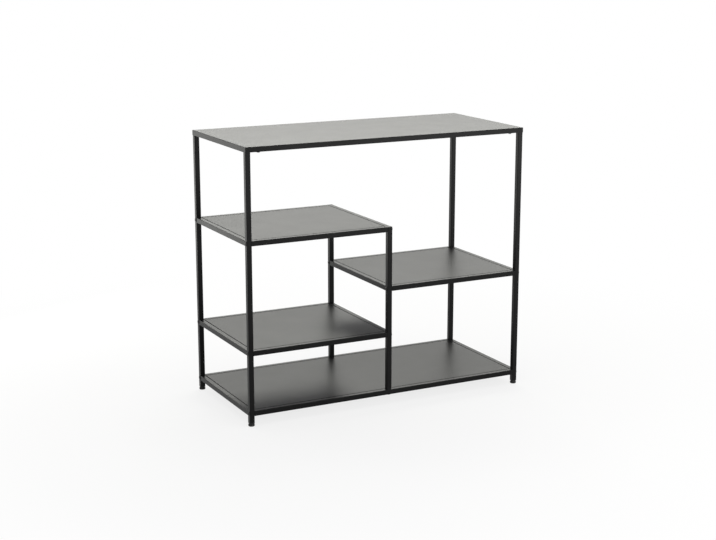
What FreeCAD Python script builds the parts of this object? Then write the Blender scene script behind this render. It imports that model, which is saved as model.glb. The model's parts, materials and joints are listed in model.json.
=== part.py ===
import FreeCAD, Part
import math
import os
import Sketcher

# Open shelving unit in square steel tube and folded sheet. Millimetres, +Z up, +X to the right,
# +Y to the rear. The origin is on the floor, under the middle of the unit.

doc = FreeCAD.newDocument("ShelvingUnit")

# Driving dimensions

SIZES = {
    # Whole unit
    "overall_width": "900",
    "overall_depth": "400",
    "overall_height": "800",
    # Square tube of the posts and rails
    "tube_size": "15",
    "tube_wall": "1.2",
    "tube_corner": "1.5",
    "least_corner": "0.2",
    # Shelf levels, to the upper face of the rails
    "bottom_shelf_height": "45",
    "step_height": "177",
    "bay_height": "316",
    # Folded sheet
    "panel_sheet": "1",
    "panel_lip": "9.5",
    "panel_groove": "1.5",
    "panel_recess": "0.1",
    "fold_inside": "0.5",
    "top_sheet": "1",
    "top_edge": "15",
    "top_overhang": "0.5",
    # Tabs that carry the panels
    "tab_length": "30",
    "tab_reach": "14",
    "tab_thickness": "2",
    "tab_bevel": "4",
    # Bolts through the posts and their inserts
    "bolt_diameter": "6",
    "bolt_head_diameter": "12.5",
    "bolt_head_height": "1.6",
    "bolt_head_bevel": "0.7",
    "bolt_grip": "13",
    "bolt_socket": "4",
    "bolt_socket_depth": "2.4",
    "hole_clearance": "0.2",
    "thread_clearance": "0.1",
    "insert_length": "16",
    "insert_fit": "0.1",
    # Fixing of the top
    "plate_thickness": "2.5",
    "plate_width": "13",
    "plate_reach": "34",
    "channel_width": "20",
    "channel_sheet": "1",
    "channel_fit": "0.1",
    "screw_diameter": "5",
    "screw_head_diameter": "10",
    "screw_head_height": "2.8",
    "screw_head_bevel": "0.8",
    "screw_socket": "3",
    "screw_socket_depth": "1.5",
    "screw_end": "1",
    "nut_flats": "8",
    "nut_height": "4",
    # Caps of the middle posts
    "cap_thickness": "1.5",
    "cap_spigot": "2",
    # Levelling feet
    "foot_diameter": "18.5",
    "foot_height": "6.2",
    "foot_round": "2",
    "foot_bevel": "0.8",
    "collar_diameter": "15.4",
    "collar_height": "2.3",
    "foot_gap": "0.5",
    "flange_thickness": "1",
    "stud_diameter": "8",
    "stud_socket": "6",
    "stud_point": "1",
    "bolt_to_insert": "4",
}

sheet = doc.addObject("Spreadsheet::Sheet", "Sizes")
for row, (alias, number) in enumerate(SIZES.items(), start=1):
    sheet.set(f"A{row}", alias)
    sheet.set(f"B{row}", number)
    sheet.setAlias(f"B{row}", alias)
doc.recompute()

# Places and sizes that follow from the driving dimensions, as formulas of the sheet

HALF_TUBE = "(Sizes.tube_size / 2)"
RIGHT_X = f"(Sizes.overall_width / 2 - Sizes.top_overhang - {HALF_TUBE})"
LEFT_X = f"(-{RIGHT_X})"
MIDDLE_X = "0"
REAR_Y = f"(Sizes.overall_depth / 2 - Sizes.top_overhang - {HALF_TUBE})"
FRONT_Y = f"(-{REAR_Y})"

BOTTOM_TOP = "Sizes.bottom_shelf_height"
LOWER_LEFT_TOP = f"({BOTTOM_TOP} + Sizes.step_height)"
RIGHT_TOP = f"({BOTTOM_TOP} + Sizes.bay_height)"
UPPER_LEFT_TOP = f"({RIGHT_TOP} + Sizes.step_height)"

COLLAR_TOP = "(Sizes.foot_height + Sizes.collar_height)"
POST_BOTTOM = f"({COLLAR_TOP} + Sizes.foot_gap + Sizes.flange_thickness)"
POST_TOP = "(Sizes.overall_height - Sizes.top_edge)"
MIDDLE_POST_TOP = f"({UPPER_LEFT_TOP} - Sizes.cap_thickness)"

BORE_SIDE = "(Sizes.tube_size - 2 * Sizes.tube_wall)"
BORE_CORNER = "max(Sizes.tube_corner - Sizes.tube_wall; Sizes.least_corner)"
PLUG_SIDE = f"({BORE_SIDE} - 2 * Sizes.insert_fit)"
PLUG_CORNER = "max(Sizes.tube_corner - Sizes.tube_wall - Sizes.insert_fit; Sizes.least_corner)"
BOLT_HOLE = "(Sizes.bolt_diameter / 2 + Sizes.hole_clearance)"
INSERT_HOLE = "(Sizes.bolt_diameter / 2 + Sizes.thread_clearance)"
SCREW_HOLE = "(Sizes.screw_diameter / 2 + Sizes.hole_clearance)"
NUT_HOLE = "(Sizes.screw_diameter / 2 + Sizes.thread_clearance)"
STUD_HOLE = "(Sizes.stud_diameter / 2 + Sizes.thread_clearance)"

# Edges this close to the plane of a face count as lying in it
NEARLY_ZERO = 1e-6

UP = FreeCAD.Rotation()
ALONG_X = FreeCAD.Rotation(FreeCAD.Vector(0, 1, 0), 90)
AGAINST_X = FreeCAD.Rotation(FreeCAD.Vector(0, 1, 0), -90)
ALONG_Y = FreeCAD.Rotation(FreeCAD.Vector(1, 0, 0), -90)
HALF_TURN = FreeCAD.Rotation(FreeCAD.Vector(0, 0, 1), 180)
QUARTER_TURN = FreeCAD.Rotation(FreeCAD.Vector(0, 0, 1), 90)
QUARTER_BACK = FreeCAD.Rotation(FreeCAD.Vector(0, 0, 1), -90)

nodes = []


def value(formula):
    """The number that a formula of the sheet has now."""
    return float(sheet.evalExpression(formula))


def place(thing, x, y, z, rotation=UP):
    """Puts an object at a point given by three formulas."""
    thing.Placement = FreeCAD.Placement(FreeCAD.Vector(), rotation)
    for axis, formula in zip("xyz", (x, y, z)):
        thing.setExpression(f"Placement.Base.{axis}", formula)


def new_body(label):
    """A body whose label names its piece."""
    body = doc.addObject("PartDesign::Body", label)
    body.Label = label
    return body


def new_sketch(body, name, role):
    """A sketch on one of the body's own origin planes."""
    plane = next(feature for feature in body.Origin.OriginFeatures if feature.Role == role)
    sketch = body.newObject("Sketcher::SketchObject", name)
    sketch.AttachmentSupport = [(plane, "")]
    sketch.MapMode = "FlatFace"
    return sketch


def bind(sketch, name, formula, kind, *geometry):
    """Adds a dimension to a sketch and ties it to a formula."""
    index = sketch.addConstraint(Sketcher.Constraint(kind, *geometry, value(formula)))
    sketch.renameConstraint(index, name)
    sketch.setExpression(f"Constraints.{name}", formula)


def point(x, y):
    """A point in the plane of a sketch."""
    return FreeCAD.Vector(x, y, 0)


def draw_rounded_rectangle(sketch, name, width, height, corner):
    """A rectangle with four equal round corners, centred on the sketch's origin."""
    half_width = value(width) / 2
    half_height = value(height) / 2
    radius = value(corner)
    inner_x = half_width - radius
    inner_y = half_height - radius
    turns = [(1, -1, -90), (1, 1, 0), (-1, 1, 90), (-1, -1, 180)]
    arcs = []
    for side_x, side_y, start in turns:
        circle = Part.Circle(point(side_x * inner_x, side_y * inner_y), FreeCAD.Vector(0, 0, 1), radius)
        arc = Part.ArcOfCircle(circle, math.radians(start), math.radians(start + 90))
        arcs.append(sketch.addGeometry(arc))
    edges = []
    for index, arc in enumerate(arcs):
        start = sketch.getPoint(arcs[index - 1], 2)
        end = sketch.getPoint(arc, 1)
        edges.append(sketch.addGeometry(Part.LineSegment(start, end)))
    for index, arc in enumerate(arcs):
        direction = "Horizontal" if index % 2 == 0 else "Vertical"
        sketch.addConstraint(Sketcher.Constraint("Tangent", edges[index], 1, arcs[index - 1], 2))
        sketch.addConstraint(Sketcher.Constraint("Tangent", edges[index], 2, arc, 1))
        sketch.addConstraint(Sketcher.Constraint(direction, edges[index]))
    for arc in arcs[1:]:
        sketch.addConstraint(Sketcher.Constraint("Equal", arcs[0], arc))
    sketch.addConstraint(Sketcher.Constraint("Symmetric", edges[0], 1, edges[2], 1, -1, 1))
    bind(sketch, f"{name}_width", width, "DistanceX", edges[3], 1, edges[1], 1)
    bind(sketch, f"{name}_height", height, "DistanceY", edges[0], 1, edges[2], 1)
    bind(sketch, f"{name}_corner", corner, "Radius", arcs[0])


def draw_circle(sketch, name, radius, along_x="0", along_y="0"):
    """A circle at a place that two formulas give."""
    centre = point(value(along_x), value(along_y))
    circle = sketch.addGeometry(Part.Circle(centre, FreeCAD.Vector(0, 0, 1), value(radius)))
    bind(sketch, f"{name}_radius", radius, "Radius", circle)
    for axis, kind, formula in (("x", "DistanceX", along_x), ("y", "DistanceY", along_y)):
        bind(sketch, f"{name}_{axis}", formula, kind, -1, 1, circle, 3)


def draw_hexagon(sketch, flats):
    """A regular hexagon about the sketch's origin, from its width across flats."""
    reach = value(flats) / math.sqrt(3)
    rim = sketch.addGeometry(Part.Circle(point(0, 0), FreeCAD.Vector(0, 0, 1), reach), True)
    corners = [
        point(reach * math.cos(math.radians(60 * turn)), reach * math.sin(math.radians(60 * turn)))
        for turn in range(6)
    ]
    sides = [
        sketch.addGeometry(Part.LineSegment(corners[turn - 1], corners[turn]))
        for turn in range(6)
    ]
    for turn, side in enumerate(sides):
        sketch.addConstraint(Sketcher.Constraint("Coincident", sides[turn - 1], 2, side, 1))
        sketch.addConstraint(Sketcher.Constraint("PointOnObject", side, 2, rim))
    for side in sides[1:]:
        sketch.addConstraint(Sketcher.Constraint("Equal", sides[0], side))
    sketch.addConstraint(Sketcher.Constraint("Coincident", rim, 3, -1, 1))
    sketch.addConstraint(Sketcher.Constraint("PointOnObject", sides[0], 2, -1))
    bind(sketch, "reach", f"{flats} / sqrt(3)", "Radius", rim)


def draw_outline(sketch, corners):
    """A closed outline of straight sides, each corner given by two formulas."""
    points = [point(value(x), value(y)) for x, y in corners]
    sides = []
    for start, end in zip(points, points[1:] + points[:1]):
        sides.append(sketch.addGeometry(Part.LineSegment(start, end)))
    for index, side in enumerate(sides):
        sketch.addConstraint(Sketcher.Constraint("Coincident", sides[index - 1], 2, side, 1))
    for index, (x, y) in enumerate(corners):
        bind(sketch, f"corner{index}_x", x, "DistanceX", -1, 1, sides[index], 1)
        bind(sketch, f"corner{index}_y", y, "DistanceY", -1, 1, sides[index], 1)


def pad(body, sketch, name, length, reverse=False):
    """Raises a sketch by a length, along its normal or against it."""
    feature = body.newObject("PartDesign::Pad", name)
    feature.Profile = sketch
    feature.setExpression("Length", length)
    feature.Reversed = reverse
    doc.recompute()
    return feature


def turn(body, corners):
    """A turned piece: its profile revolved about the body's Z axis."""
    sketch = new_sketch(body, "Profile", "XZ_Plane")
    draw_outline(sketch, corners)
    feature = body.newObject("PartDesign::Revolution", "Turning")
    feature.Profile = sketch
    feature.ReferenceAxis = (sketch, ["V_Axis"])
    feature.Angle = 360
    doc.recompute()
    return feature


def cut(body, feature):
    """Recomputes a cut and stops if it took nothing away."""
    before = feature.BaseFeature.Shape.Volume
    doc.recompute()
    if feature.Shape.Volume >= before:
        raise RuntimeError(f"{body.Label}: {feature.Name} removes nothing")


def drill_across(body, stations):
    """Bolt holes through both walls of a tube, across its X axis, at heights given by formulas."""
    sketch = new_sketch(body, "BoltHoles", "YZ_Plane")
    for index, station in enumerate(stations):
        draw_circle(sketch, f"hole{index}", BOLT_HOLE, "0", station)
    feature = body.newObject("PartDesign::Pocket", "BoltHoleCut")
    feature.Profile = sketch
    feature.Type = "ThroughAll"
    feature.SideType = "Symmetric"
    cut(body, feature)


def sink_socket(body, flats, depth, head_height):
    """A hexagon socket into a head that hangs below the body's origin."""
    sketch = new_sketch(body, "Socket", "XY_Plane")
    draw_hexagon(sketch, flats)
    sketch.setExpression("AttachmentOffset.Base.z", f"-{head_height}")
    feature = body.newObject("PartDesign::Pocket", "SocketCut")
    feature.Profile = sketch
    feature.setExpression("Length", depth)
    feature.Reversed = True
    cut(body, feature)


def round_edges(body, base, name, radius, wanted):
    """Rounds the edges of a feature that the test picks out."""
    names = [f"Edge{index}" for index, edge in enumerate(base.Shape.Edges, start=1) if wanted(edge)]
    feature = body.newObject("PartDesign::Fillet", name)
    feature.Base = (base, names)
    feature.setExpression("Radius", radius)
    doc.recompute()
    return feature


def make_tube(label, length, stations=()):
    """A length of the square tube, standing on its own origin, with bolt holes at the stations."""
    body = new_body(label)
    sketch = new_sketch(body, "Section", "XY_Plane")
    draw_rounded_rectangle(sketch, "outside", "Sizes.tube_size", "Sizes.tube_size", "Sizes.tube_corner")
    draw_rounded_rectangle(sketch, "inside", BORE_SIDE, BORE_SIDE, BORE_CORNER)
    pad(body, sketch, "Length", length)
    if stations:
        drill_across(body, stations)
    return body


def make_pan(label, width, depth, edge, thickness):
    """A folded sheet pan: flat upper face at the body's origin, edges folded down all round."""
    body = new_body(label)
    sketch = new_sketch(body, "Outline", "XY_Plane")
    draw_outline(sketch, [
        (f"-{width} / 2", f"-{depth} / 2"),
        (f"{width} / 2", f"-{depth} / 2"),
        (f"{width} / 2", f"{depth} / 2"),
        (f"-{width} / 2", f"{depth} / 2"),
    ])
    block = pad(body, sketch, "Block", edge, reverse=True)
    outside = f"Sizes.fold_inside + {thickness}"
    folded = round_edges(body, block, "Fold", outside, lambda edge: edge.BoundBox.ZMin > -NEARLY_ZERO)
    lowest = min(range(len(folded.Shape.Faces)), key=lambda index: folded.Shape.Faces[index].CenterOfMass.z)
    shell = body.newObject("PartDesign::Thickness", "Sheet")
    shell.Base = (folded, [f"Face{lowest + 1}"])
    shell.setExpression("Value", thickness)
    shell.Reversed = True
    shell.Join = "Arc"
    cut(body, shell)
    return body


def make_group(label, piece, places):
    """Equal loose pieces that share one node, each at its own place."""
    copies = []
    for index, (x, y, z, rotation) in enumerate(places):
        copy = doc.addObject("App::Link", f"{label}_{index + 1}")
        copy.LinkedObject = piece
        place(copy, x, y, z, rotation)
        copies.append(copy)
    group = doc.addObject("Part::Compound", label)
    group.Label = label
    group.Links = copies
    nodes.append(group)


def make_bolt(label):
    """A low round-headed bolt: its seat at the origin, its shank up the Z axis."""
    body = new_body(label)
    shank = "(Sizes.bolt_diameter / 2)"
    length = "(Sizes.tube_size + Sizes.bolt_grip)"
    head = "(Sizes.bolt_head_diameter / 2)"
    turn(body, [
        ("0", "-Sizes.bolt_head_height"),
        (f"{head} - Sizes.bolt_head_bevel", "-Sizes.bolt_head_height"),
        (head, "-Sizes.bolt_head_height + Sizes.bolt_head_bevel"),
        (head, "0"),
        (shank, "0"),
        (shank, length),
        ("0", length),
    ])
    sink_socket(body, "Sizes.bolt_socket", "Sizes.bolt_socket_depth", "Sizes.bolt_head_height")
    return body


def make_insert(label):
    """A plug for the end of a tube, with a threaded bore along its Z axis."""
    body = new_body(label)
    sketch = new_sketch(body, "Section", "XY_Plane")
    draw_rounded_rectangle(sketch, "plug", PLUG_SIDE, PLUG_SIDE, PLUG_CORNER)
    draw_circle(sketch, "bore", INSERT_HOLE)
    pad(body, sketch, "Plug", "Sizes.insert_length")
    return body


def make_tab(label):
    """A small plate with two bevelled corners; its straight edge lies on the rail, at the origin."""
    body = new_body(label)
    sketch = new_sketch(body, "Outline", "XY_Plane")
    half = "(Sizes.tab_length / 2)"
    draw_outline(sketch, [
        ("0", f"-{half}"),
        ("Sizes.tab_reach - Sizes.tab_bevel", f"-{half}"),
        ("Sizes.tab_reach", f"-{half} + Sizes.tab_bevel"),
        ("Sizes.tab_reach", f"{half} - Sizes.tab_bevel"),
        ("Sizes.tab_reach - Sizes.tab_bevel", half),
        ("0", half),
    ])
    pad(body, sketch, "Plate", "Sizes.tab_thickness", reverse=True)
    return body


def make_tongue_plate(label):
    """A plate for the upper end of a corner post, with a round tongue about its screw hole."""
    body = new_body(label)
    sketch = new_sketch(body, "Outline", "XY_Plane")
    half = value("Sizes.plate_width") / 2
    reach = value("Sizes.plate_reach")
    circle = Part.Circle(point(reach, 0), FreeCAD.Vector(0, 0, 1), half)
    tongue = sketch.addGeometry(Part.ArcOfCircle(circle, -math.pi / 2, math.pi / 2))
    corners = [point(reach, half), point(-half, half), point(-half, -half), point(reach, -half)]
    sides = [
        sketch.addGeometry(Part.LineSegment(start, end))
        for start, end in zip(corners, corners[1:])
    ]
    sketch.addConstraint(Sketcher.Constraint("Tangent", tongue, 2, sides[0], 1))
    sketch.addConstraint(Sketcher.Constraint("Coincident", sides[0], 2, sides[1], 1))
    sketch.addConstraint(Sketcher.Constraint("Coincident", sides[1], 2, sides[2], 1))
    sketch.addConstraint(Sketcher.Constraint("Tangent", sides[2], 2, tongue, 1))
    sketch.addConstraint(Sketcher.Constraint("Horizontal", sides[0]))
    sketch.addConstraint(Sketcher.Constraint("Vertical", sides[1]))
    sketch.addConstraint(Sketcher.Constraint("PointOnObject", tongue, 3, -1))
    bind(sketch, "tongue_radius", "Sizes.plate_width / 2", "Radius", tongue)
    bind(sketch, "tongue_reach", "Sizes.plate_reach", "DistanceX", -1, 1, tongue, 3)
    bind(sketch, "square_end", "-Sizes.plate_width / 2", "DistanceX", -1, 1, sides[1], 1)
    draw_circle(sketch, "screw_hole", SCREW_HOLE, "Sizes.plate_reach", "0")
    pad(body, sketch, "Plate", "Sizes.plate_thickness")
    return body


def make_screw(label):
    """A low round-headed screw: its seat at the origin, its shank up the Z axis."""
    body = new_body(label)
    shank = "(Sizes.screw_diameter / 2)"
    head = "(Sizes.screw_head_diameter / 2)"
    length = "(Sizes.plate_thickness + Sizes.channel_sheet + Sizes.nut_height + Sizes.screw_end)"
    turn(body, [
        ("0", "-Sizes.screw_head_height"),
        (f"{head} - Sizes.screw_head_bevel", "-Sizes.screw_head_height"),
        (head, "-Sizes.screw_head_height + Sizes.screw_head_bevel"),
        (head, "0"),
        (shank, "0"),
        (shank, length),
        ("0", length),
    ])
    sink_socket(body, "Sizes.screw_socket", "Sizes.screw_socket_depth", "Sizes.screw_head_height")
    return body


def make_nut(label):
    """A hexagon nut, standing on its own origin."""
    body = new_body(label)
    sketch = new_sketch(body, "Section", "XY_Plane")
    draw_hexagon(sketch, "Sizes.nut_flats")
    draw_circle(sketch, "bore", NUT_HOLE)
    pad(body, sketch, "Nut", "Sizes.nut_height")
    return body


def make_channel(label, y, rotation):
    """A folded channel under the top's front edge, or turned round under its rear edge, open upwards."""
    body = new_body(label)
    height = "(Sizes.top_edge - Sizes.plate_thickness - Sizes.top_sheet)"
    margin = "(Sizes.top_sheet + Sizes.fold_inside + Sizes.channel_fit)"
    length = f"(Sizes.overall_width - 2 * {margin})"
    outer = f"({REAR_Y} - Sizes.overall_depth / 2 + {margin})"
    inner = f"({outer} + Sizes.channel_width)"
    sketch = new_sketch(body, "Section", "YZ_Plane")
    draw_outline(sketch, [
        (outer, "0"),
        (inner, "0"),
        (inner, height),
        (f"{inner} - Sizes.channel_sheet", height),
        (f"{inner} - Sizes.channel_sheet", "Sizes.channel_sheet"),
        (f"{outer} + Sizes.channel_sheet", "Sizes.channel_sheet"),
        (f"{outer} + Sizes.channel_sheet", height),
        (outer, height),
    ])
    profile = pad(body, sketch, "Channel", length)
    profile.SideType = "Symmetric"
    doc.recompute()
    holes = new_sketch(body, "ScrewHoles", "XY_Plane")
    draw_circle(holes, "left", SCREW_HOLE, f"{LEFT_X} + Sizes.plate_reach", "0")
    draw_circle(holes, "right", SCREW_HOLE, f"{RIGHT_X} - Sizes.plate_reach", "0")
    drilled = body.newObject("PartDesign::Pocket", "ScrewHoleCut")
    drilled.Profile = holes
    drilled.setExpression("Length", "Sizes.channel_sheet")
    drilled.Reversed = True
    cut(body, drilled)
    place(body, "0", y, f"{POST_TOP} + Sizes.plate_thickness", rotation)
    nodes.append(body)


def make_cap(label):
    """A cap for the upper end of a tube: a plate at the origin, with a spigot below it."""
    body = new_body(label)
    sketch = new_sketch(body, "Plate", "XY_Plane")
    draw_rounded_rectangle(sketch, "plate", "Sizes.tube_size", "Sizes.tube_size", "Sizes.tube_corner")
    pad(body, sketch, "CapPlate", "Sizes.cap_thickness")
    spigot = new_sketch(body, "Spigot", "XY_Plane")
    draw_rounded_rectangle(spigot, "spigot", PLUG_SIDE, PLUG_SIDE, PLUG_CORNER)
    pad(body, spigot, "CapSpigot", "Sizes.cap_spigot", reverse=True)
    return body


def make_foot_insert(label):
    """A flanged plug for the lower end of a corner post, with a threaded bore for the foot."""
    body = new_body(label)
    flange = new_sketch(body, "Flange", "XY_Plane")
    draw_rounded_rectangle(flange, "flange", "Sizes.tube_size", "Sizes.tube_size", "Sizes.tube_corner")
    draw_circle(flange, "bore", STUD_HOLE)
    pad(body, flange, "InsertFlange", "Sizes.flange_thickness", reverse=True)
    plug = new_sketch(body, "Plug", "XY_Plane")
    draw_rounded_rectangle(plug, "plug", PLUG_SIDE, PLUG_SIDE, PLUG_CORNER)
    draw_circle(plug, "bore", STUD_HOLE)
    pad(body, plug, "InsertPlug", FOOT_INSERT_LENGTH)
    return body


def make_foot_pad(label, x, y):
    """A round foot with a collar, a rounded lower edge and a socket for its stud."""
    body = new_body(label)
    rim = "(Sizes.foot_diameter / 2)"
    collar = "(Sizes.collar_diameter / 2)"
    socket_floor = f"({COLLAR_TOP} - Sizes.stud_socket)"
    turned = turn(body, [
        ("0", "0"),
        (rim, "0"),
        (rim, "Sizes.foot_height - Sizes.foot_bevel"),
        (f"{rim} - Sizes.foot_bevel", "Sizes.foot_height"),
        (collar, "Sizes.foot_height"),
        (collar, COLLAR_TOP),
        (STUD_HOLE, COLLAR_TOP),
        (STUD_HOLE, socket_floor),
        ("0", socket_floor),
    ])
    round_edges(
        body, turned, "LowerRound", "Sizes.foot_round", lambda edge: edge.BoundBox.ZMax < NEARLY_ZERO
    )
    place(body, x, y, "0")
    nodes.append(body)


def make_foot_stud(label, x, y):
    """The threaded stud of a foot, from the floor of its socket up into the post's insert."""
    body = new_body(label)
    radius = "(Sizes.stud_diameter / 2)"
    seat = f"({COLLAR_TOP} - Sizes.stud_socket)"
    top = f"({POST_BOTTOM} + {FOOT_INSERT_LENGTH})"
    turn(body, [
        ("0", seat),
        (radius, seat),
        (radius, f"{top} - Sizes.stud_point"),
        (f"{radius} - Sizes.stud_point", top),
        ("0", top),
    ])
    place(body, x, y, "0")
    nodes.append(body)


# The insert of a foot ends below the lowest bolt that crosses its post
FOOT_INSERT_LENGTH = (
    f"({BOTTOM_TOP} - {HALF_TUBE} - Sizes.bolt_diameter / 2 - Sizes.bolt_to_insert - {POST_BOTTOM})"
)

COLUMNS = {"left": LEFT_X, "middle": MIDDLE_X, "right": RIGHT_X}
ROWS = {"front": FRONT_Y, "rear": REAR_Y}
CORNERS = [(column, row) for column in ("left", "right") for row in ROWS]

# Each shelf: the columns that it spans and the level of its rails' upper face
SHELVES = {
    "bottom_shelf": ("left", "right", BOTTOM_TOP),
    "lower_left_shelf": ("left", "middle", LOWER_LEFT_TOP),
    "right_shelf": ("middle", "right", RIGHT_TOP),
    "upper_left_shelf": ("left", "middle", UPPER_LEFT_TOP),
}


def make_posts():
    """Four corner posts up to the top, and two middle posts that stand on the bottom shelf."""
    for column, x in COLUMNS.items():
        bottom = BOTTOM_TOP if column == "middle" else POST_BOTTOM
        top = MIDDLE_POST_TOP if column == "middle" else POST_TOP
        levels = [level for left, right, level in SHELVES.values() if column in (left, right)]
        stations = [f"{level} - {HALF_TUBE} - {bottom}" for level in levels]
        for row, y in ROWS.items():
            post = make_tube(f"{column}_{row}_post", f"{top} - {bottom}", stations)
            place(post, x, y, bottom)
            nodes.append(post)


def make_shelf(shelf, bolt, insert, tab):
    """A shelf: two rails bolted between the posts, two rails across, a panel on tabs between them."""
    left, right, level = SHELVES[shelf]
    left_x = COLUMNS[left]
    right_x = COLUMNS[right]
    axis_z = f"{level} - {HALF_TUBE}"
    span = f"({right_x} - {left_x} - Sizes.tube_size)"
    reach = f"({REAR_Y} - {FRONT_Y} - Sizes.tube_size)"
    middle = f"({right_x} + {left_x}) / 2"
    left_face = f"{left_x} + {HALF_TUBE}"
    right_face = f"{right_x} - {HALF_TUBE}"

    # The bottom rails also take the bolts that come up into the middle posts
    stations = [f"{span} / 2"] if shelf == "bottom_shelf" else []
    for row, y in ROWS.items():
        rail = make_tube(f"{shelf}_{row}_rail", span, stations)
        place(rail, left_face, y, axis_z, ALONG_X)
        nodes.append(rail)
    for side, x in (("left", left_x), ("right", right_x)):
        rail = make_tube(f"{shelf}_{side}_rail", reach)
        place(rail, x, f"{FRONT_Y} + {HALF_TUBE}", axis_z, ALONG_Y)
        nodes.append(rail)

    panel_width = f"({span} - 2 * Sizes.panel_groove)"
    panel_depth = f"({reach} - 2 * Sizes.panel_groove)"
    panel = make_pan(f"{shelf}_panel", panel_width, panel_depth, "Sizes.panel_lip", "Sizes.panel_sheet")
    place(panel, middle, "0", f"{level} - Sizes.panel_recess")
    nodes.append(panel)

    seat = f"{level} - Sizes.panel_recess - Sizes.panel_lip"
    tab_places = [
        (left_face, "0", seat, UP),
        (right_face, "0", seat, HALF_TURN),
    ]
    order = list(COLUMNS)
    bays = order.index(right) - order.index(left)
    tabs = 2 * bays
    for index in range(tabs):
        x = f"{left_face} + {span} * {2 * index + 1} / {2 * tabs}"
        tab_places.append((x, f"{FRONT_Y} + {HALF_TUBE}", seat, QUARTER_TURN))
        tab_places.append((x, f"{REAR_Y} - {HALF_TUBE}", seat, QUARTER_BACK))
    make_group(f"{shelf}_tabs", tab, tab_places)

    bolt_places = []
    insert_places = []
    for y in ROWS.values():
        bolt_places.append((f"{left_x} - {HALF_TUBE}", y, axis_z, ALONG_X))
        bolt_places.append((f"{right_x} + {HALF_TUBE}", y, axis_z, AGAINST_X))
        insert_places.append((left_face, y, axis_z, ALONG_X))
        insert_places.append((right_face, y, axis_z, AGAINST_X))
    make_group(f"{shelf}_bolts", bolt, bolt_places)
    make_group(f"{shelf}_rail_inserts", insert, insert_places)


def make_middle_post_ends(bolt, insert):
    """The bolts and inserts at the foot of the middle posts, and the caps on their upper ends."""
    under_rail = f"{BOTTOM_TOP} - Sizes.tube_size"
    make_group("middle_post_bolts", bolt, [(MIDDLE_X, y, under_rail, UP) for y in ROWS.values()])
    make_group("middle_post_inserts", insert, [(MIDDLE_X, y, BOTTOM_TOP, UP) for y in ROWS.values()])
    cap = make_cap("post_cap")
    make_group("middle_post_caps", cap, [(MIDDLE_X, y, MIDDLE_POST_TOP, UP) for y in ROWS.values()])


def make_top():
    """The top pan, its two channels, and the plates, screws and nuts that hold it to the posts."""
    top = make_pan("top_panel", "Sizes.overall_width", "Sizes.overall_depth", "Sizes.top_edge", "Sizes.top_sheet")
    place(top, "0", "0", "Sizes.overall_height")
    nodes.append(top)
    make_channel("top_front_channel", FRONT_Y, UP)
    make_channel("top_rear_channel", REAR_Y, HALF_TURN)

    plate_places = []
    screw_places = []
    nut_places = []
    nut_seat = f"{POST_TOP} + Sizes.plate_thickness + Sizes.channel_sheet"
    for column, row in CORNERS:
        y = ROWS[row]
        inward = "+" if column == "left" else "-"
        screw_x = f"{COLUMNS[column]} {inward} Sizes.plate_reach"
        plate_places.append((COLUMNS[column], y, POST_TOP, UP if column == "left" else HALF_TURN))
        screw_places.append((screw_x, y, POST_TOP, UP))
        nut_places.append((screw_x, y, nut_seat, UP))
    make_group("post_top_plates", make_tongue_plate("tongue_plate"), plate_places)
    make_group("top_screws", make_screw("top_screw"), screw_places)
    make_group("top_nuts", make_nut("top_nut"), nut_places)


def make_feet():
    """A levelling foot under each corner post."""
    insert = make_foot_insert("foot_insert")
    make_group("foot_inserts", insert, [
        (COLUMNS[column], ROWS[row], POST_BOTTOM, UP) for column, row in CORNERS
    ])
    for column, row in CORNERS:
        make_foot_pad(f"{row}_{column}_foot_pad", COLUMNS[column], ROWS[row])
        make_foot_stud(f"{row}_{column}_foot_stud", COLUMNS[column], ROWS[row])


def check_and_write():
    """Stops if anything failed, then writes each piece to its own file."""
    doc.recompute()
    for thing in doc.Objects:
        if "Invalid" in thing.State or "Error" in thing.State:
            raise RuntimeError(f"{thing.Label} failed: {thing.State}")
    for node in nodes:
        if node.Shape.isNull() or not node.Shape.isValid():
            raise RuntimeError(f"{node.Label} has no valid shape")
    os.makedirs("parts", exist_ok=True)
    for node in nodes:
        node.Shape.exportStep(f"parts/{node.Label}.step")


rail_bolt = make_bolt("rail_bolt")
rail_insert = make_insert("rail_insert")
panel_tab = make_tab("panel_tab")
make_posts()
for shelf_name in SHELVES:
    make_shelf(shelf_name, rail_bolt, rail_insert, panel_tab)
make_middle_post_ends(rail_bolt, rail_insert)
make_top()
make_feet()
check_and_write()
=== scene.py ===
import json
import math

import bmesh
import bpy
from mathutils import Matrix, Vector


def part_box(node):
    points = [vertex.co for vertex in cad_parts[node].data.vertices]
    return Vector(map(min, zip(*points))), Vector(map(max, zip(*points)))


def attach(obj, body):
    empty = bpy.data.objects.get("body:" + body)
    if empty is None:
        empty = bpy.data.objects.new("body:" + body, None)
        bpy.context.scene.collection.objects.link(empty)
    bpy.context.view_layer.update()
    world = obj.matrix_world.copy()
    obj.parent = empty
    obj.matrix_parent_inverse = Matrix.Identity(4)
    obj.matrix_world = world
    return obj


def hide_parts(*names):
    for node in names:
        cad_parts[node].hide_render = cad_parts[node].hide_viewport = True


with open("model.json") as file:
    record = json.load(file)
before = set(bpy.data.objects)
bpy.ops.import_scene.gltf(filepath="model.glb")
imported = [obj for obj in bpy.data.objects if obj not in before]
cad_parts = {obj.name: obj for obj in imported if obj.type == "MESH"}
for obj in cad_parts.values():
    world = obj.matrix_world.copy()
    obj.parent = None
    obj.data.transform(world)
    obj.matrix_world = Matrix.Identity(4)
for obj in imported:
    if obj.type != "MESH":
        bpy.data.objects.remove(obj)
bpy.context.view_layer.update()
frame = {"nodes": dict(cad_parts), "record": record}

MM = 0.001
nodes = frame["nodes"]
slot_of = {row["node"]: row["material_slot"] for row in frame["record"]["subparts"]}
body_of = {
    node: body
    for body, members in frame["record"]["behaviour"]["bodies"].items()
    for node in members
}
scene = bpy.context.scene
scene.view_settings.view_transform = "Standard"


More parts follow.
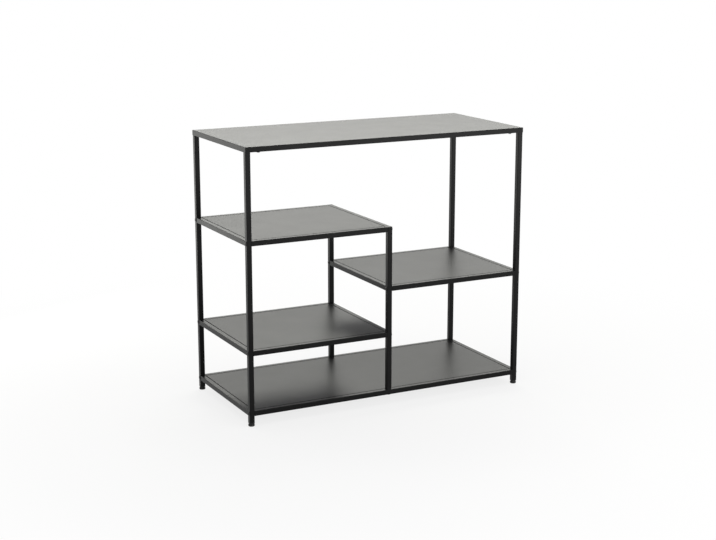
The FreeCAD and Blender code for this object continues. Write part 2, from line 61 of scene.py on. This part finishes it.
# Camera, at the photograph's viewing angle, with its lens and sensor in millimetres

CAMERA_PLACE = Vector((-1960.3, -3808.2, 1371.4)) * MM
CAMERA_AZIMUTH = math.radians(-27.208)
CAMERA_ELEVATION = math.radians(13.178)
CAMERA_LENS = 72.757
CAMERA_SENSOR = 36


def make_camera():
    """Looks from the front left, a little down on the unit."""
    camera = bpy.data.objects.new("camera", bpy.data.cameras.new("camera"))
    scene.collection.objects.link(camera)
    camera.data.lens = CAMERA_LENS
    camera.data.sensor_width = CAMERA_SENSOR
    back = Vector((
        math.sin(CAMERA_AZIMUTH) * math.cos(CAMERA_ELEVATION),
        -math.cos(CAMERA_AZIMUTH) * math.cos(CAMERA_ELEVATION),
        math.sin(CAMERA_ELEVATION),
    ))
    camera.location = CAMERA_PLACE
    camera.rotation_mode = "QUATERNION"
    camera.rotation_quaternion = (-back).to_track_quat("-Z", "Y")
    scene.camera = camera


# Node trees

def link(tree, start, end):
    """Joins an output socket to an input socket."""
    tree.links.new(start, end)


def combine(tree, operation, first, second):
    """The result of a math operation on two output sockets."""
    result = tree.nodes.new("ShaderNodeMath")
    result.operation = operation
    link(tree, first, result.inputs[0])
    link(tree, second, result.inputs[1])
    return result.outputs[0]


def map_range(tree, source, old, new, interpolation="LINEAR"):
    """Carries a value from one range to another."""
    stretch = tree.nodes.new("ShaderNodeMapRange")
    stretch.interpolation_type = interpolation
    stretch.inputs["From Min"].default_value = old[0]
    stretch.inputs["From Max"].default_value = old[1]
    stretch.inputs["To Min"].default_value = new[0]
    stretch.inputs["To Max"].default_value = new[1]
    link(tree, source, stretch.inputs["Value"])
    return stretch.outputs[0]


def bare_material(name):
    """A new material with an empty node tree."""
    material = bpy.data.materials.new(name)
    material.use_nodes = True
    material.node_tree.nodes.clear()
    return material


# Studio: white surround, pale floor and soft lamps, with lengths in metres

WHITE = (1, 1, 1, 1)
# The light of the surround on the unit, where 1 is as bright as the surround looks
AMBIENT = 0.45
FLOOR_SIDE = 14
FLOOR_COLOUR = (0.93, 0.93, 0.93, 1)
# The share of plain white in the floor by the unit, and the distances from the
# unit's middle between which it grows to all white
FLOOR_WHITE_NEAR = 0.8
FLOOR_FADE = (0.7, 1.8)
# A lamp of brightness 1 is as bright as the surround looks
LAMPS = {
    "overhead": {
        "place": (0.0, 0.3, 3.2),
        "aim": (0, 0, 0),
        "width": 3.0,
        "height": 3.0,
        "brightness": 1.0,
        "colour": (1, 1, 1),
    },
    "rear_high": {
        "place": (2.8, 4.2, 3.05),
        "aim": (0.1, 0, 0.4),
        "width": 4.4,
        "height": 1.5,
        "brightness": 6.1,
        "colour": (1, 1, 0.93),
    },
    "rear_left": {
        "place": (-0.9, 1.3, 0.5),
        "aim": (-0.4, 0, 0.5),
        "width": 1.4,
        "height": 0.8,
        "brightness": 1.5,
        "colour": (1, 1, 0.95),
    },
    "front_right": {
        "place": (1.3, -2.1, 0.8),
        "aim": (0.2, 0, 0.8),
        "width": 2.0,
        "height": 1.2,
        "brightness": 3.2,
        "colour": (1, 1, 1),
    },
}


def seen_directly(tree):
    """1 for what the camera sees, straight or in a shiny or clear surface, and otherwise 0."""
    path = tree.nodes.new("ShaderNodeLightPath")
    opaque = combine(tree, "MAXIMUM", path.outputs["Is Camera Ray"], path.outputs["Is Glossy Ray"])
    return combine(tree, "MAXIMUM", opaque, path.outputs["Is Transmission Ray"])


def mix_white(tree, share, plain, white, output):
    """Mixes a share of a white shader into a plain one, and sends it to a new output."""
    mix = tree.nodes.new("ShaderNodeMixShader")
    link(tree, share, mix.inputs["Fac"])
    link(tree, plain.outputs[0], mix.inputs[1])
    link(tree, white.outputs[0], mix.inputs[2])
    out = tree.nodes.new(output)
    link(tree, mix.outputs[0], out.inputs["Surface"])


def make_world():
    """White where it is seen, and a soft even light on the unit."""
    world = bpy.data.worlds.new("studio")
    world.use_nodes = True
    scene.world = world
    tree = world.node_tree
    tree.nodes.clear()
    light = tree.nodes.new("ShaderNodeBackground")
    light.inputs["Color"].default_value = WHITE
    light.inputs["Strength"].default_value = AMBIENT
    white = tree.nodes.new("ShaderNodeBackground")
    white.inputs["Color"].default_value = WHITE
    white.inputs["Strength"].default_value = 1
    mix_white(tree, seen_directly(tree), light, white, "ShaderNodeOutputWorld")


def make_floor():
    """A pale floor that keeps the unit's shadow and runs out into the white surround."""
    mesh = bpy.data.meshes.new("floor")
    half = FLOOR_SIDE / 2
    corners = [(-half, -half, 0), (half, -half, 0), (half, half, 0), (-half, half, 0)]
    mesh.from_pydata(corners, [], [(0, 1, 2, 3)])
    floor = bpy.data.objects.new("floor", mesh)
    scene.collection.objects.link(floor)
    material = bare_material("floor")
    tree = material.node_tree
    pale = tree.nodes.new("ShaderNodeBsdfDiffuse")
    pale.inputs["Color"].default_value = FLOOR_COLOUR
    white = tree.nodes.new("ShaderNodeEmission")
    white.inputs["Color"].default_value = WHITE
    white.inputs["Strength"].default_value = 1
    place = tree.nodes.new("ShaderNodeTexCoord")
    distance = tree.nodes.new("ShaderNodeVectorMath")
    distance.operation = "LENGTH"
    link(tree, place.outputs["Object"], distance.inputs[0])
    fade = map_range(
        tree, distance.outputs["Value"], FLOOR_FADE, (FLOOR_WHITE_NEAR, 1), "SMOOTHSTEP"
    )
    share = combine(tree, "MULTIPLY", fade, seen_directly(tree))
    mix_white(tree, share, pale, white, "ShaderNodeOutputMaterial")
    mesh.materials.append(material)


def make_lamps():
    """Large soft lamps, each aimed at the unit and hidden from the camera."""
    for name, lamp in LAMPS.items():
        light = bpy.data.lights.new(name, "AREA")
        light.shape = "RECTANGLE"
        light.size = lamp["width"]
        light.size_y = lamp["height"]
        light.energy = lamp["brightness"] * math.pi * lamp["width"] * lamp["height"]
        light.color = lamp["colour"]
        thing = bpy.data.objects.new(name, light)
        scene.collection.objects.link(thing)
        thing.location = lamp["place"]
        ahead = Vector(lamp["aim"]) - Vector(lamp["place"])
        thing.rotation_euler = ahead.to_track_quat("-Z", "Y").to_euler()
        thing.visible_camera = False


# Materials, one for each slot of the record. Blotch, gloss patch, peel and grain
# are the sizes of noises, and relief is the depth of the peel and grain

NOISE_DETAIL = 2
# The range that holds most of a noise, stretched to a finish's own values
NOISE_LOW = 0.3
NOISE_HIGH = 0.7
# Satin black powder coat: a fine grain over a slight orange peel, and an even gloss
POWDER_COAT = {
    "blotch": 60 * MM,
    "gloss_patch": 80 * MM,
    "metallic": 0,
    "peel": 1.6 * MM,
    "grain": 0.4 * MM,
    "grain_share": 0.35,
    "relief": 0.03 * MM,
}
FINISHES = {
    "powder_coated_tube": {
        **POWDER_COAT,
        "dark": (0.002, 0.002, 0.002),
        "light": (0.004, 0.004, 0.004),
        "roughness": (0.34, 0.36),
        "ior": 1.22,
    },
    "powder_coated_sheet": {
        **POWDER_COAT,
        "dark": (0.003, 0.003, 0.003),
        "light": (0.005, 0.005, 0.005),
        "roughness": (0.35, 0.37),
        "ior": 1.21,
    },
    # Blackened steel: a dark skin with faint brown blotches and a dull, uneven shine
    "black_fasteners": {
        "dark": (0.004, 0.004, 0.004),
        "light": (0.008, 0.007, 0.006),
        "blotch": 3 * MM,
        "roughness": (0.36, 0.5),
        "gloss_patch": 1.2 * MM,
        "ior": 1.3,
        "metallic": 0,
        "grain": 0.3 * MM,
        "relief": 0.004 * MM,
    },
    # Bright zinc on steel: bluish grey metal with a fine, uneven grain
    "zinc_steel": {
        "dark": (0.5, 0.51, 0.53),
        "light": (0.62, 0.63, 0.64),
        "blotch": 2 * MM,
        "roughness": (0.24, 0.4),
        "gloss_patch": 0.8 * MM,
        "ior": 1.5,
        "metallic": 1,
        "grain": 0.25 * MM,
        "relief": 0.003 * MM,
    },
    # Black moulded plastic with a fine spark-eroded grain
    "black_plastic": {
        "dark": (0.005, 0.005, 0.005),
        "light": (0.009, 0.009, 0.009),
        "blotch": 8 * MM,
        "roughness": (0.5, 0.6),
        "gloss_patch": 2 * MM,
        "ior": 1.4,
        "metallic": 0,
        "grain": 0.35 * MM,
        "relief": 0.012 * MM,
    },
}


def noise(tree, size):
    """Noise whose grains are about this size, fixed to the piece."""
    place = tree.nodes.new("ShaderNodeTexCoord")
    texture = tree.nodes.new("ShaderNodeTexNoise")
    texture.inputs["Scale"].default_value = 1 / size
    texture.inputs["Detail"].default_value = NOISE_DETAIL
    link(tree, place.outputs["Object"], texture.inputs["Vector"])
    return texture.outputs["Fac"]


def add_share(tree, first, second, share):
    """One noise with a share of another added to it."""
    total = tree.nodes.new("ShaderNodeMath")
    total.operation = "MULTIPLY_ADD"
    link(tree, second, total.inputs[0])
    total.inputs[1].default_value = share
    link(tree, first, total.inputs[2])
    return total.outputs[0]


def vary_colour(tree, shader, source, dark, light):
    """Runs the shader's colour from dark to light with a noise."""
    ramp = tree.nodes.new("ShaderNodeValToRGB")
    first, last = ramp.color_ramp.elements
    first.position = NOISE_LOW
    first.color = (*dark, 1)
    last.position = NOISE_HIGH
    last.color = (*light, 1)
    link(tree, source, ramp.inputs["Fac"])
    link(tree, ramp.outputs["Color"], shader.inputs["Base Color"])


def bump(tree, shader, source, depth):
    """Raises the surface by up to this depth with a noise."""
    relief = tree.nodes.new("ShaderNodeBump")
    relief.inputs["Strength"].default_value = 1
    relief.inputs["Distance"].default_value = depth
    link(tree, source, relief.inputs["Height"])
    link(tree, relief.outputs["Normal"], shader.inputs["Normal"])


def make_material(name, finish):
    """A material whose colour and gloss vary a little, with a fine relief."""
    material = bare_material(name)
    tree = material.node_tree
    shader = tree.nodes.new("ShaderNodeBsdfPrincipled")
    out = tree.nodes.new("ShaderNodeOutputMaterial")
    link(tree, shader.outputs[0], out.inputs["Surface"])
    vary_colour(tree, shader, noise(tree, finish["blotch"]), finish["dark"], finish["light"])
    patches = noise(tree, finish["gloss_patch"])
    gloss = map_range(tree, patches, (NOISE_LOW, NOISE_HIGH), finish["roughness"])
    link(tree, gloss, shader.inputs["Roughness"])
    shader.inputs["IOR"].default_value = finish["ior"]
    shader.inputs["Metallic"].default_value = finish["metallic"]
    height = noise(tree, finish["grain"])
    if "peel" in finish:
        height = add_share(tree, noise(tree, finish["peel"]), height, finish["grain_share"])
    bump(tree, shader, height, finish["relief"])
    return material


materials = {slot: make_material(slot, finish) for slot, finish in FINISHES.items()}


def dress_nodes():
    """Gives each CAD node the material of its slot."""
    for node, slot in slot_of.items():
        mesh = nodes[node].data
        mesh.materials.clear()
        mesh.materials.append(materials[slot])


# Fasteners and feet, finer than their solids

LEFT = Vector((-1, 0, 0))
RIGHT = Vector((1, 0, 0))
DOWN = Vector((0, 0, -1))
SEGMENTS = 48
SMOOTH_ANGLE = math.radians(35)

SHELVES = ("bottom_shelf", "lower_left_shelf", "right_shelf", "upper_left_shelf")
BOLT = {
    "head_diameter": 12.5 * MM,
    "head_height": 1.6 * MM,
    "dome": 0.7 * MM,
    "socket": 4 * MM,
    "socket_depth": 2.2 * MM,
    "shank_diameter": 6 * MM,
    "length": 29.6 * MM,
}
SCREW = {
    "head_diameter": 10 * MM,
    "head_height": 2.8 * MM,
    "dome": 1.1 * MM,
    "socket": 3 * MM,
    "socket_depth": 1.4 * MM,
    "shank_diameter": 5 * MM,
    "length": 11.3 * MM,
}
SOCKET_BEVEL = 0.25 * MM
HEAD_EDGE = 0.15 * MM
DOME_STEPS = 6
# Each fastener of a node is turned by this much more than the one before
SOCKET_TURN = math.radians(40)

FEET = ("front_left_foot", "rear_left_foot", "front_right_foot", "rear_right_foot")
FOOT_HEIGHT = 6.2 * MM
FOOT_ROUND = 2 * MM
FOOT_SHOULDER = 0.8 * MM
FOOT_RECESS = 0.3 * MM
# The recess's radius as a share of the foot's
FOOT_RECESS_SHARE = 0.62
COLLAR_RADIUS = 7.7 * MM
COLLAR_ROUND = 0.4 * MM
STUD_HOLE_RADIUS = 4.1 * MM
STUD_HOLE_BEVEL = 0.3 * MM
STUD_SOCKET = 6 * MM
STUD_POINT = 1 * MM
ROUND_STEPS = 6
THREAD_PITCH = 1.25 * MM
THREAD_DEPTH = 0.6 * MM
THREAD_STEPS = 10
# Where a thread's flank starts and ends, from 0 in the middle of a root to 1 on a crest
THREAD_ROOT = 0.25
THREAD_CREST = 0.85


def on_axis(height):
    """A point on the Z axis."""
    return Vector((0, 0, height))


def circle(radius, height):
    """The points of a level circle about the Z axis."""
    turns = [2 * math.pi * index / SEGMENTS for index in range(SEGMENTS)]
    return [Vector((radius * math.cos(turn), radius * math.sin(turn), height)) for turn in turns]


def hexagon(flats, height):
    """As many points as a circle has, on a level hexagon given by its width across flats."""
    sector = math.pi / 3
    points = []
    for spoke in circle(1, 0):
        turn = math.atan2(spoke.y, spoke.x) % sector - sector / 2
        reach = flats / 2 / math.cos(turn)
        points.append(Vector((spoke.x * reach, spoke.y * reach, height)))
    return points


def quarter(centre_radius, centre_height, radius, start):
    """A quarter round in a turned profile, as (radius, height) points from an angle in degrees."""
    turns = [math.radians(start + 90 * step / ROUND_STEPS) for step in range(ROUND_STEPS + 1)]
    return [
        (centre_radius + radius * math.cos(turn), centre_height + radius * math.sin(turn))
        for turn in turns
    ]


def skin(solid, rings, first, last, matrix):
    """Adds one closed surface to a mesh: rings of points, with a fan to a point at each end."""
    loops = [[solid.verts.new(matrix @ point) for point in ring] for ring in rings]
    for lower, upper in zip(loops, loops[1:]):
        for index in range(SEGMENTS):
            solid.faces.new((lower[index - 1], lower[index], upper[index], upper[index - 1]))
    for loop, middle, order in ((loops[0], first, -1), (loops[-1], last, 1)):
        tip = solid.verts.new(matrix @ middle)
        for index in range(SEGMENTS):
            solid.faces.new((loop[index - 1], loop[index], tip)[::order])


def replace_node(node, solid):
    """Puts a finer mesh in a CAD node's place, on its body and in its material."""
    bmesh.ops.recalc_face_normals(solid, faces=solid.faces)
    name = f"{node}_fine"
    mesh = bpy.data.meshes.new(name)
    solid.to_mesh(mesh)
    solid.free()
    mesh.shade_smooth()
    mesh.set_sharp_from_angle(angle=SMOOTH_ANGLE)
    mesh.materials.append(materials[slot_of[node]])
    piece = bpy.data.objects.new(name, mesh)
    scene.collection.objects.link(piece)
    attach(piece, body_of[node])
    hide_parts(node)


def fastener_rings(kind):
    """A domed head with a hexagon socket, and a plain shank.

    The rings run from the socket's floor, over the head, to the shank's end.
    """
    head = kind["head_diameter"] / 2
    shank = kind["shank_diameter"] / 2
    lip = kind["socket"] / math.sqrt(3) + SOCKET_BEVEL
    rings = [hexagon(kind["socket"], -depth) for depth in (kind["socket_depth"], SOCKET_BEVEL)]
    for step in range(DOME_STEPS + 1):
        radius = lip + (head - HEAD_EDGE - lip) * step / DOME_STEPS
        drop = kind["dome"] * (radius ** 2 - lip ** 2) / (head ** 2 - lip ** 2)
        rings.append(circle(radius, -drop))
    rings.append(circle(head, -kind["dome"] - HEAD_EDGE))
    rings.append(circle(head, -kind["head_height"]))
    rings.append(circle(shank, -kind["head_height"]))
    rings.append(circle(shank, -kind["length"]))
    return rings


def make_fasteners(node, kind, places):
    """The fasteners of one node, each with the middle of its head and the way that faces."""
    rings = fastener_rings(kind)
    socket_floor = on_axis(-kind["socket_depth"])
    end = on_axis(-kind["length"])
    solid = bmesh.new()
    for index, (place, outward) in enumerate(places):
        facing = outward.to_track_quat("Z", "Y").to_matrix().to_4x4()
        turn = Matrix.Rotation(index * SOCKET_TURN, 4, "Z")
        skin(solid, rings, socket_floor, end, Matrix.Translation(place) @ facing @ turn)
    replace_node(node, solid)


def inset(low, high, distance):
    """The two values that lie this far inside a range."""
    return low + distance, high - distance


def make_all_fasteners():
    """The bolts through the posts and under the middle posts, and the screws of the top."""
    bolt_radius = BOLT["head_diameter"] / 2
    screw_radius = SCREW["head_diameter"] / 2
    for shelf in SHELVES:
        low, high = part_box(f"{shelf}_bolts")
        axis = (low.z + high.z) / 2
        rows = inset(low.y, high.y, bolt_radius)
        places = [((low.x, y, axis), LEFT) for y in rows]
        places += [((high.x, y, axis), RIGHT) for y in rows]
        make_fasteners(f"{shelf}_bolts", BOLT, places)

    low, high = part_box("middle_post_bolts")
    middle = (low.x + high.x) / 2
    rows = inset(low.y, high.y, bolt_radius)
    make_fasteners("middle_post_bolts", BOLT, [((middle, y, low.z), DOWN) for y in rows])

    low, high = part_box("top_screws")
    columns = inset(low.x, high.x, screw_radius)
    rows = inset(low.y, high.y, screw_radius)
    places = [((x, y, low.z), DOWN) for x in columns for y in rows]
    make_fasteners("top_screws", SCREW, places)


def pad_profile(rim, top):
    """The outline of a moulded foot, as (radius, height) points.

    It has a shallow recess below, a rounded lower edge, a shoulder, a narrower
    collar and a hole for the stud.
    """
    recess = rim * FOOT_RECESS_SHARE
    shoulder = FOOT_HEIGHT - FOOT_SHOULDER
    return [
        (recess, FOOT_RECESS),
        (recess + FOOT_RECESS, 0),
        *quarter(rim - FOOT_ROUND, FOOT_ROUND, FOOT_ROUND, -90),
        *quarter(rim - FOOT_SHOULDER, shoulder, FOOT_SHOULDER, 0),
        (COLLAR_RADIUS, FOOT_HEIGHT),
        *quarter(COLLAR_RADIUS - COLLAR_ROUND, top - COLLAR_ROUND, COLLAR_ROUND, 0),
        (STUD_HOLE_RADIUS + STUD_HOLE_BEVEL, top),
        (STUD_HOLE_RADIUS, top - STUD_HOLE_BEVEL),
        (STUD_HOLE_RADIUS, top - STUD_SOCKET),
    ]


def thread_rings(radius, bottom, top):
    """A threaded stud that narrows at its upper end: its rings step in and out along a helix."""
    rings = []
    steps = round((top - bottom) / THREAD_PITCH * THREAD_STEPS)
    for step in range(steps + 1):
        height = bottom + (top - bottom) * step / steps
        point = min(1, (top - height) / STUD_POINT)
        ring = []
        for index, spoke in enumerate(circle(1, height)):
            phase = (height / THREAD_PITCH - index / SEGMENTS) % 1
            rise = (abs(2 * phase - 1) - THREAD_ROOT) / (THREAD_CREST - THREAD_ROOT)
            crest = min(1, max(0, rise))
            reach = radius - THREAD_DEPTH * (1 - crest)
            reach = min(reach, radius - STUD_POINT * (1 - point))
            ring.append(Vector((spoke.x * reach, spoke.y * reach, height)))
        rings.append(ring)
    return rings


def make_feet():
    """The moulded pad and the threaded stud of each levelling foot."""
    for foot in FEET:
        low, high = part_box(f"{foot}_pad")
        matrix = Matrix.Translation(((low.x + high.x) / 2, (low.y + high.y) / 2, low.z))
        top = high.z - low.z
        profile = pad_profile((high.x - low.x) / 2, top)
        rings = [circle(radius, height) for radius, height in profile]
        solid = bmesh.new()
        skin(solid, rings, on_axis(FOOT_RECESS), on_axis(top - STUD_SOCKET), matrix)
        replace_node(f"{foot}_pad", solid)

        stud_low, stud_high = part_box(f"{foot}_stud")
        stud_radius = (stud_high.x - stud_low.x) / 2
        bottom = stud_low.z - low.z
        top = stud_high.z - low.z
        solid = bmesh.new()
        rings = thread_rings(stud_radius, bottom, top)
        skin(solid, rings, on_axis(bottom), on_axis(top), matrix)
        replace_node(f"{foot}_stud", solid)


make_camera()
make_world()
make_floor()
make_lamps()
dress_nodes()
make_all_fasteners()
make_feet()
